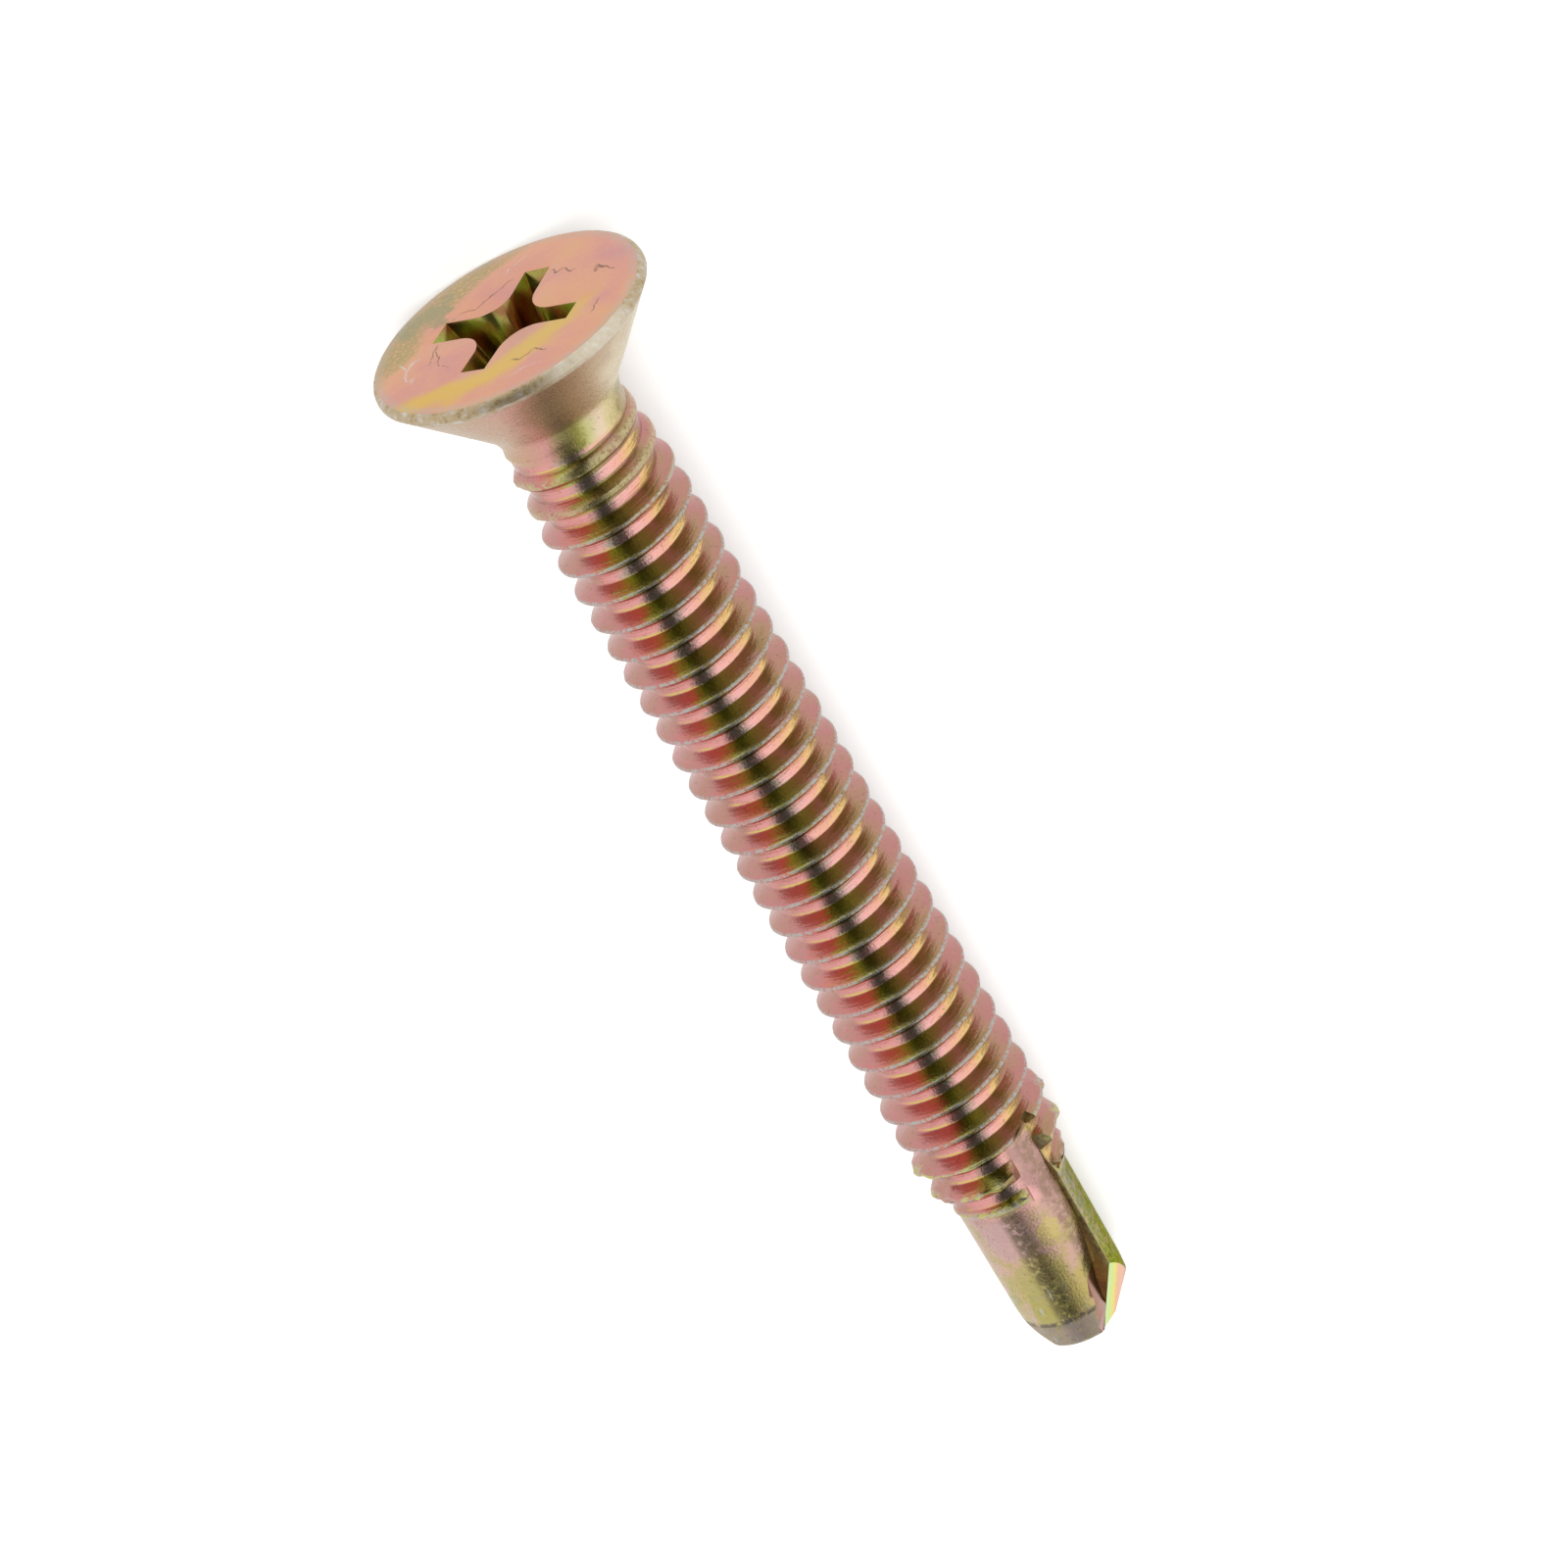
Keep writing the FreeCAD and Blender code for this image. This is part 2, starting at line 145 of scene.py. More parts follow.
# thread: one ridge wound round the core, clipped by an envelope where it rises and where it ends;
# the envelope is (place, radius), a burr is (place, turn, size, push)
threadSizes = {
    "pitch": 1.0583,
    "firstCrest": 3.036,
    "turns": 29,
    "steps": 72,
    "core": 1.5,
    "flank": [(0.03, 2.325), (0.052, 2.304), (0.078, 2.26), (0.2, 2.048), (0.322, 1.837), (0.342, 1.808),
              (0.368, 1.788), (0.4, 1.774)],
    "envelope": [(2.9, 1.84), (3.35, 1.965), (3.6, 2.0), (4.09, 2.09), (4.6, 2.14), (5.15, 2.19), (5.68, 2.24),
                 (6.21, 2.3), (6.5, 2.325), (31.4, 2.325), (32.67, 2.06), (33.1, 1.84), (33.4, 1.7)],
    "phaseFrom": 6.211,
    "wornAbove": 2.0,
    "wobble": 0.014,
    "endWobble": 0.13,
    "wobbleIn": 0.3,
    "wobbleGrains": (2.3, 1.9),
    "wobbleApart": (9, 4, 2),
    "endFrom": 30.4,
    "endLength": 2,
    "bareFrom": 31.0,
    "bareTurns": (40, 78),
    "bareFade": 8,
    "bareRadius": 1.7,
    "bareRise": 0.08,
    "burrRadius": 2.2,
    "burrRise": 0.4,
    "burrs": [(30.6, 8, 0.3, 0.12), (31.65, 4, 0.4, 0.14), (31.1, 172, 0.35, 0.1), (32.15, 176, 0.4, 0.16),
              (31.3, 63, 0.3, 0.1), (32.4, 66, 0.3, 0.12), (30.2, 60, 0.25, 0.08), (4.5, 178, 0.3, 0.07)],
}


def buildThread():
    bm = bmesh.new()
    flank = threadSizes["flank"]
    section = [(-half, r) for half, r in reversed(flank)] + list(flank)
    section += [(flank[-1][0], threadSizes["core"]), (-flank[-1][0], threadSizes["core"])]
    verts = [bm.verts.new((r, 0, threadSizes["firstCrest"] + offset)) for offset, r in section]
    for index, vert in enumerate(verts):
        bm.edges.new((vert, verts[(index + 1) % len(verts)]))
    bmesh.ops.spin(bm, geom=bm.verts[:] + bm.edges[:], cent=(0, 0, 0), axis=(0, 0, 1),
                   dvec=(0, 0, threadSizes["pitch"] / threadSizes["steps"]), angle=2 * math.pi,
                   steps=threadSizes["steps"], use_merge=False)
    oneTurn = bm.verts[:] + bm.edges[:] + bm.faces[:]
    for number in range(1, threadSizes["turns"]):
        copied = bmesh.ops.duplicate(bm, geom=oneTurn)["geom"]
        verts = [item for item in copied if isinstance(item, bmesh.types.BMVert)]
        bmesh.ops.translate(bm, verts=verts, vec=(0, 0, threadSizes["pitch"] * number))
    bmesh.ops.remove_doubles(bm, verts=bm.verts[:], dist=1e-4)
    bmesh.ops.holes_fill(bm, edges=[edge for edge in bm.edges if edge.is_boundary], sides=0)
    outGrain, alongGrain = threadSizes["wobbleGrains"]
    for vert in bm.verts:
        radius = min(polar(vert.co)[0], between(threadSizes["envelope"], vert.co.z))
        height = vert.co.z
        if radius > threadSizes["wornAbove"]:
            atEnd = max(0, min(1, (height - threadSizes["endFrom"]) / threadSizes["endLength"]))
            worn = threadSizes["wobble"] + threadSizes["endWobble"] * atEnd
            radius += worn * (noise.noise(vert.co * outGrain) - threadSizes["wobbleIn"])
            height += worn * noise.noise(vert.co * alongGrain + Vector(threadSizes["wobbleApart"]))
            for place, turn, size, push in threadSizes["burrs"]:
                spot = aroundAxis(threadSizes["burrRadius"], turn, place)
                share = max(0, 1 - (vert.co - spot).length / size)
                radius += push * share ** 0.5
                height += threadSizes["burrRise"] * push * share
        # the last turns stop short of the flutes
        turn = polar(vert.co)[1] % 180
        bareStart, bareStop = threadSizes["bareTurns"]
        if height > threadSizes["bareFrom"] and bareStart < turn < bareStop + threadSizes["bareFade"]:
            rise = threadSizes["bareRise"] * max(0, turn - bareStop)
            radius = min(radius, threadSizes["bareRadius"] + rise)
        moveTo(vert, radius, height)
    bmesh.ops.recalc_face_normals(bm, faces=bm.faces[:])
    return newObject("threadRidge", bm)


# flutes: sections as (place, bottom radius, opening angle), the cutting wall stands at the turn
fluteSizes = {
    "turn": 45,
    "reach": 6,
    "sections": [(30.1, 2.25, 83), (30.8, 1.88, 82), (31.5, 1.77, 82), (32.4, 1.75, 82), (33.2, 1.75, 83),
                 (34.6, 1.68, 82.5), (35.6, 1.5, 76.5), (36.45, 1.3, 73), (37.1, 1.1, 67.5), (37.6, 1.0, 70),
                 (38.08, 0.92, 73), (38.4, 0.73, 67), (38.7, 0.54, 62), (39.6, 0.02, 58)],
}


def buildFlute(turn):
    bm = bmesh.new()
    loops = []
    reach = fluteSizes["reach"]
    for height, bottom, opening in fluteSizes["sections"]:
        far = (bottom + reach * math.cos(math.radians(opening)), reach * math.sin(math.radians(opening)))
        corners = [bm.verts.new((x, y, height)) for x, y in ((bottom, 0), (reach, 0), far)]
        loops.append([bm.edges.new((corners[i], corners[(i + 1) % 3])) for i in range(3)])
    for low, high in zip(loops[:-1], loops[1:]):
        bmesh.ops.bridge_loops(bm, edges=low + high)
    bmesh.ops.holes_fill(bm, edges=[edge for edge in bm.edges if edge.is_boundary], sides=0)
    bmesh.ops.rotate(bm, verts=bm.verts[:], cent=(0, 0, 0), matrix=Matrix.Rotation(math.radians(turn), 3, "Z"))
    bmesh.ops.recalc_face_normals(bm, faces=bm.faces[:])
    return newObject("fluteCutter", bm)


# lips: a block cuts each land to a facet that falls to the tip, a steeper cut relieves it behind the lip
lipSizes = {"turn": 62, "tilt": 31, "corner": 36.54, "cornerRadius": 1.9, "size": 6}
reliefSizes = {"land": 1.1, "narrowing": 0.231, "steeper": 45, "size": 3}
# from the cutter's edge to its middle, as shares of its size
cutterShift = {"ahead": 0.4, "aside": 0.498}


def behindWall():
    # from the cutting wall into the land behind it
    wall = math.radians(fluteSizes["turn"])
    return Vector((math.sin(wall), -math.cos(wall), 0))


def facetPlanes():
    fall, steeper = math.radians(lipSizes["tilt"]), math.radians(reliefSizes["steeper"])
    facet = aroundAxis(math.cos(fall), lipSizes["turn"], math.sin(fall))
    behind = behindWall()
    alongLip = behind.cross(facet).normalized()
    offLip = facet.cross(alongLip)
    corner = aroundAxis(lipSizes["cornerRadius"], fluteSizes["turn"], lipSizes["corner"])
    start = corner + offLip * reliefSizes["land"]
    border = (alongLip - offLip * reliefSizes["narrowing"]).normalized()
    relief = facet * math.cos(steeper) + facet.cross(border) * math.sin(steeper)
    return {"facet": facet, "alongLip": alongLip, "corner": corner, "start": start, "border": border,
            "relief": relief}


def buildFacet(start, ahead, outward, size, turn):
    # a block with one edge on the line from start, one face square to outward and no reach over the flute
    bm = bmesh.new()
    aside = outward.cross(ahead)
    axes = Matrix((ahead, aside, outward)).transposed()
    middle = (start + ahead * size * cutterShift["ahead"] + aside * size * cutterShift["aside"]
              + outward * size / 2)
    bmesh.ops.create_cube(bm, size=size, matrix=Matrix.Translation(middle) @ axes.to_4x4())
    bmesh.ops.rotate(bm, verts=bm.verts[:], cent=(0, 0, 0), matrix=Matrix.Rotation(math.radians(turn), 3, "Z"))
    return newObject("facetCutter", bm)


# cross recess: each wing as (direction, reach, width) at the face, all alike at the floor
recessSizes = {
    "wings": [(41, 2.38, 0.78), (132, 2.34, 0.88), (221, 2.46, 0.98), (307.5, 2.56, 0.88)],
    "floorReach": 1.62,
    "floorWidth": 0.6,
    "corner": 1.0,
    "floorCorner": 0.6,
    "depth": 2.1,
    "above": 0.2,
    "pit": 2.85,
    "pitRadius": 0.6,
    "pitOverlap": 0.1,
    "edge": 0.045,
}


def crossLoop(bm, wings, corner, height):
    points = []
    for index, (turn, reach, width) in enumerate(wings):
        out = Vector((math.cos(math.radians(turn)), math.sin(math.radians(turn))))
        left = Vector((-out.y, out.x))
        nextTurn, nextWidth = wings[(index + 1) % 4][0], wings[(index + 1) % 4][2]
        nextOut = Vector((math.cos(math.radians(nextTurn)), math.sin(math.radians(nextTurn))))
        nextRight = Vector((nextOut.y, -nextOut.x))
        points += [out * reach - left * width / 2, out * reach + left * width / 2]
        # where the left wall of this wing meets the right wall of the next
        base = left * width / 2
        other = nextRight * nextWidth / 2
        gap = other - base
        along = (gap.x * nextOut.y - gap.y * nextOut.x) / (out.x * nextOut.y - out.y * nextOut.x)
        points.append(base + out * along)
    verts = [bm.verts.new((point.x, point.y, height)) for point in points]
    bm.faces.new(verts)
    inner = [vert for index, vert in enumerate(verts) if index % 3 == 2]
    bmesh.ops.bevel(bm, geom=inner, offset=corner, segments=8, profile=0.5, affect="VERTICES", material=-1)


def buildRecess():
    bm = bmesh.new()
    floorReach, floorWidth = recessSizes["floorReach"], recessSizes["floorWidth"]
    grow = 1 + recessSizes["above"] / recessSizes["depth"]
    outer, floorWings = [], []
    for turn, reach, width in recessSizes["wings"]:
        outer.append((turn, floorReach + (reach - floorReach) * grow, floorWidth + (width - floorWidth) * grow))
        floorWings.append((turn, floorReach, floorWidth))
    crossLoop(bm, outer, recessSizes["corner"], -recessSizes["above"])
    crossLoop(bm, floorWings, recessSizes["floorCorner"], recessSizes["depth"])
    bmesh.ops.bridge_loops(bm, edges=bm.edges[:])
    bmesh.ops.recalc_face_normals(bm, faces=bm.faces[:])
    return newObject("recessCutter", bm)


def buildPit():
    bm = bmesh.new()
    top = recessSizes["depth"] - recessSizes["pitOverlap"]
    depth = recessSizes["pit"] - recessSizes["depth"] + recessSizes["pitOverlap"]
    bmesh.ops.create_cone(bm, cap_ends=True, cap_tris=True, segments=24, radius1=recessSizes["pitRadius"],
                          radius2=0, depth=depth)
    bmesh.ops.translate(bm, verts=bm.verts[:], vec=(0, 0, top + depth / 2))
    return newObject("pitCutter", bm)


def combine(piece, tool, operation):
    cut = piece.modifiers.new(operation.lower(), "BOOLEAN")
    cut.operation = operation
    cut.solver = "MANIFOLD"
    cut.object = tool
    shown = piece.evaluated_get(bpy.context.evaluated_depsgraph_get())
    mesh = bpy.data.meshes.new_from_object(shown)
    piece.modifiers.clear()
    old = piece.data
    piece.data = mesh
    bpy.data.meshes.remove(old)
    bpy.data.objects.remove(tool)


screw = buildBlank()
screw.name = "screwVisual"
print("blank turned")
combine(screw, buildThread(), "UNION")
print("thread wound", len(screw.data.polygons))
planes = facetPlanes()
for turn in (0, 180):
    combine(screw, buildFlute(fluteSizes["turn"] + turn), "DIFFERENCE")
    combine(screw, buildFacet(planes["corner"], planes["alongLip"], planes["facet"], lipSizes["size"], turn),
            "DIFFERENCE")
    combine(screw, buildFacet(planes["start"], planes["border"], planes["relief"], reliefSizes["size"], turn),
            "DIFFERENCE")
print("drill point cut")
combine(screw, buildRecess(), "DIFFERENCE")
combine(screw, buildPit(), "DIFFERENCE")
print("recess sunk", len(screw.data.polygons))


# which finish a face gets, by its place in the list of materials, and how its region is told
finishPlaces = {"shank": 0, "face": 1, "recess": 2, "heel": 3, "cutting": 4, "lip": 5, "rubbed": 6}
regionLimits = {
    "face": 0.02,
    "faceRadius": 0.5,
    "mouthRadius": 3,
    "neckFrom": 2.6,
    "neckRadius": 1.9,
    "recessDepth": 3,
    "recessRadius": 2.75,
    "pointFrom": 30,
    "lipFrom": 36,
    "sameNormal": 0.995,
    "level": 0.55,
    "wall": 0.8,
    "tipFrom": 36.8,
    "tipWall": 0.97,
    "landEdge": (32.9, 38.3),
    "landRadius": 1.55,
    "landAngle": 0.6,
    "mouthAngle": 0.5,
    "crest": 0.03,
    "crestRadius": 2.3,
    "crestSpan": (3.9, 33),
    "smoothAngle": 38,
}


def isFacet(normal):
    opposite = Vector((-normal.x, -normal.y, normal.z))
    likeness = max(one.dot(planes[name]) for one in (normal, opposite) for name in ("facet", "relief"))
    return likeness > regionLimits["sameNormal"]


def pointRegion(normal, middle):
    # heel wall, cutting wall or lip of the drill point
    outward = Vector((middle.x, middle.y, 0)).normalized()
    onward = Vector((-outward.y, outward.x, 0))
    if middle.z > regionLimits["lipFrom"] and isFacet(normal):
        return "lip"
    wall = regionLimits["tipWall"] if middle.z > regionLimits["tipFrom"] else regionLimits["wall"]
    if abs(normal.z) < regionLimits["level"] and normal.dot(outward) < wall:
        return "cutting" if normal.dot(onward) > 0 else "heel"
    return "shank"


def regionOf(face, rubbed):
    middle = face.calc_center_median()
    radius = polar(middle)[0]
    if middle.z < regionLimits["face"] and radius > regionLimits["faceRadius"]:
        return "face"
    onNeck = middle.z > regionLimits["neckFrom"] and radius > regionLimits["neckRadius"]
    inHead = radius < regionLimits["recessRadius"] and middle.z < regionLimits["recessDepth"]
    if inHead and not onNeck:
        return "recess"
    if middle.z <= regionLimits["pointFrom"]:
        return "shank"
    return "rubbed" if face in rubbed else pointRegion(face.normal, middle)


def mouthEdges(bm):
    found = []
    for edge in bm.edges:
        atFace = all(abs(v.co.z) < 1e-3 and polar(v.co)[0] < regionLimits["mouthRadius"] for v in edge.verts)
        if atFace and edge.is_manifold and edge.calc_face_angle() > regionLimits["mouthAngle"]:
            found.append(edge)
    return found


def landEdges(bm):
    # the edges between a land and its flute walls
    found = []
    low, high = regionLimits["landEdge"]
    for edge in bm.edges:
        onLand = all(low < v.co.z < high and polar(v.co)[0] > regionLimits["landRadius"] for v in edge.verts)
        if onLand and edge.is_manifold and edge.calc_face_angle() > regionLimits["landAngle"]:
            regions = {pointRegion(face.normal, face.calc_center_median()) for face in edge.link_faces}
            if regions in ({"shank", "heel"}, {"shank", "cutting"}):
                found.append(edge)
    return found


def finishMesh(piece):
    piece.data.materials.clear()
    bm = bmesh.new()
    bm.from_mesh(piece.data)
    bmesh.ops.remove_doubles(bm, verts=bm.verts[:], dist=2e-4)
    bmesh.ops.bevel(bm, geom=mouthEdges(bm), offset=recessSizes["edge"], segments=2, profile=0.5,
                    affect="EDGES", material=-1, clamp_overlap=True)
    bmesh.ops.recalc_face_normals(bm, faces=bm.faces[:])
    rubbed = set(bmesh.ops.bevel(bm, geom=landEdges(bm), offset=blankSizes["rubbedEdge"], segments=2, profile=0.5,
                                 affect="EDGES", material=-1, clamp_overlap=True)["faces"])
    # how near each point of the thread lies to its crest
    crest = bm.verts.layers.float.new("crest")
    first, last = regionLimits["crestSpan"]
    for vert in bm.verts:
        limit = min(regionLimits["crestRadius"], between(threadSizes["envelope"], vert.co.z))
        share = (polar(vert.co)[0] - limit + regionLimits["crest"]) / regionLimits["crest"]
        vert[crest] = max(0, min(1, share)) if first < vert.co.z < last else 0
    sharpFrom = math.radians(regionLimits["smoothAngle"])
    for edge in bm.edges:
        edge.smooth = not (edge.is_manifold and edge.calc_face_angle() > sharpFrom)
    for face in bm.faces:
        face.smooth = True
        face.material_index = finishPlaces[regionOf(face, rubbed)]
    bmesh.ops.transform(bm, matrix=layDown, verts=bm.verts[:])
    bm.to_mesh(piece.data)
    bm.free()
    piece.data.update()


finishMesh(screw)
print("mesh finished", len(screw.data.polygons))


def addNode(tree, kind, inputs=None, **settings):
    made = tree.nodes.new(kind)
    for name, value in settings.items():
        setattr(made, name, value)
    for key, value in (inputs or {}).items():
        if isinstance(value, bpy.types.NodeSocket):
            tree.links.new(value, made.inputs[key])
        else:
            made.inputs[key].default_value = value
    return made


def screwPlace(tree):
    # millimetres in the screw's own frame
    coordinates = addNode(tree, "ShaderNodeTexCoord")
    mapping = addNode(tree, "ShaderNodeMapping", {"Vector": coordinates.outputs["Object"]}, vector_type="TEXTURE")
    mapping.inputs["Location"].default_value = headCentre
    mapping.inputs["Rotation"].default_value = layTurn.to_euler("XYZ")
    mapping.inputs["Scale"].default_value = (0.001, 0.001, 0.001)
    return mapping.outputs["Vector"]


# noise as (scale, detail, roughness, distortion)
grains = {
    "drift": (0.5, 2, 0.5, 0),
    "grain": (10, 3, 0.6, 0),
    "streaks": (1, 2, 0.5, 0),
    "broken": (0.9, 2, 0.6, 0),
    "blotch": (0.7, 3, 0.55, 0.8),
    "coarse": (4.5, 4, 0.7, 0),
    "fin": (6, 4, 0.7, 0),
    "flecks": (1, 3, 0.6, 0),
    "specks": (8, 3, 0.7, 0),
    "smuts": (7, 5, 0.75, 0),
    "rim": (3.4, 4, 0.7, 0),
    "pits": (13, 4, 0.65, 0),
    "bend": (1.1, 2, 0.55, 0),
    "gaps": (5, 2, 0.55, 0),
    "faceDrift": (0.4, 3, 0.5, 0.5),
    "faceGrain": (8, 3, 0.6, 0),
    "facePits": (12, 4, 0.65, 0),
    "spill": (1.2, 3, 0.55, 0),
    "scuffs": (5.5, 5, 0.7, 0),
    "walls": (9, 3, 0.55, 0),
    "recess": (0.9, 2, 0.5, 0.4),
    "heel": (1.1, 3, 0.55, 0),
    "heelPits": (14, 3, 0.6, 0),
    "cutting": (1.3, 3, 0.6, 0),
    "lip": (7, 3, 0.6, 0),
    "rubbed": (1.6, 3, 0.6, 0),
}


def speckle(tree, place, grain):
    scale, detail, roughness, distortion = grains[grain]
    made = addNode(tree, "ShaderNodeTexNoise", {"Vector": place, "Scale": scale, "Detail": detail,
                                                "Roughness": roughness, "Distortion": distortion})
    return made.outputs["Fac"]


def maths(tree, operation, first, second=0.0):
    return addNode(tree, "ShaderNodeMath", {0: first, 1: second}, operation=operation).outputs[0]


def distanceTo(tree, place, spot):
    return addNode(tree, "ShaderNodeVectorMath", {0: place, 1: spot}, operation="DISTANCE").outputs["Value"]


def distanceAlong(tree, place, direction):
    made = addNode(tree, "ShaderNodeVectorMath", {0: place, 1: direction}, operation="DOT_PRODUCT")
    return made.outputs["Value"]


def rangeOf(tree, value, low, high, newLow=0.0, newHigh=1.0, smooth=True):
    made = addNode(tree, "ShaderNodeMapRange", {"Value": value, "From Min": low, "From Max": high,
                                                "To Min": newLow, "To Max": newHigh})
    made.interpolation_type = "SMOOTHSTEP" if smooth else "LINEAR"
    return made.outputs["Result"]


def jitter(tree, value, noiseValue, low, amount):
    # a value moved up or down by noise, at most by the amount
    return maths(tree, "ADD", value, rangeOf(tree, noiseValue, low, 1 - low, -amount, amount, False))


def ramp(tree, value, stops):
    made = addNode(tree, "ShaderNodeValToRGB", {"Fac": value})
    elements = made.color_ramp.elements
    while len(elements) < len(stops):
        elements.new(0.5)
    for element, (place, colour) in zip(elements, stops):
        element.position = place
        element.color = (*colour, 1)
    return made.outputs["Color"]


def blend(tree, factor, first, second):
    made = addNode(tree, "ShaderNodeMix", data_type="RGBA")
    tree.links.new(factor, made.inputs["Factor"])
    colourSockets = [socket for socket in made.inputs if socket.type == "RGBA"]
    for socket, value in zip(colourSockets, (first, second)):
        if isinstance(value, bpy.types.NodeSocket):
            tree.links.new(value, socket)
        else:
            socket.default_value = (*value, 1)
    return [socket for socket in made.outputs if socket.type == "RGBA"][0]


def product(tree, *values):
    result = values[0]
    for value in values[1:]:
        result = maths(tree, "MULTIPLY", result, value)
    return result


# how far the streaks and flecks of the finish are drawn out
stretch = {"leastRadius": 0.02, "streaksAround": 1.6, "streaksPitch": 26, "streaksAlong": 0.35, "flecks": (5, 5, 1.1)}


def screwFrame(tree):
    # the place in the screw's frame, its distance from the axis, how far across it lies and its phase
    # in one pitch, with places drawn out for streaks round the thread and flecks along the point
    place = screwPlace(tree)
    parts = addNode(tree, "ShaderNodeSeparateXYZ", {0: place})
    x, y, along = parts.outputs["X"], parts.outputs["Y"], parts.outputs["Z"]
    squares = maths(tree, "ADD", maths(tree, "MULTIPLY", x, x), maths(tree, "MULTIPLY", y, y))
    radius = maths(tree, "MAXIMUM", maths(tree, "SQRT", squares), stretch["leastRadius"])
    turn = maths(tree, "DIVIDE", maths(tree, "ARCTAN2", y, x), 2 * math.pi)
    turns = maths(tree, "DIVIDE", maths(tree, "SUBTRACT", along, threadSizes["phaseFrom"]), threadSizes["pitch"])
    phase = maths(tree, "FRACT", maths(tree, "SUBTRACT", turns, turn))
    across = maths(tree, "DIVIDE", x, radius)
    raised = maths(tree, "DIVIDE", y, radius)
    streaks = addNode(tree, "ShaderNodeCombineXYZ", {"X": maths(tree, "MULTIPLY", across, stretch["streaksAround"]),
                                                     "Y": maths(tree, "MULTIPLY", raised, stretch["streaksAround"]),
                                                     "Z": maths(tree, "MULTIPLY", phase, stretch["streaksPitch"])})
    lift = addNode(tree, "ShaderNodeCombineXYZ", {"X": maths(tree, "MULTIPLY", along, stretch["streaksAlong"])})
    streaks = addNode(tree, "ShaderNodeVectorMath", {0: streaks.outputs[0], 1: lift.outputs[0]}, operation="ADD")
    flecks = addNode(tree, "ShaderNodeVectorMath", {0: place, 1: stretch["flecks"]}, operation="MULTIPLY")
    return {"place": place, "x": x, "y": y, "along": along, "radius": radius, "across": across, "phase": phase,
            "streaks": streaks.outputs[0], "flecks": flecks.outputs[0]}


def bumped(tree, shader, height, strength, depth):
    bump = addNode(tree, "ShaderNodeBump", {"Height": height, "Strength": strength, "Distance": depth * 0.001})
    tree.links.new(bump.outputs["Normal"], shader.inputs["Normal"])


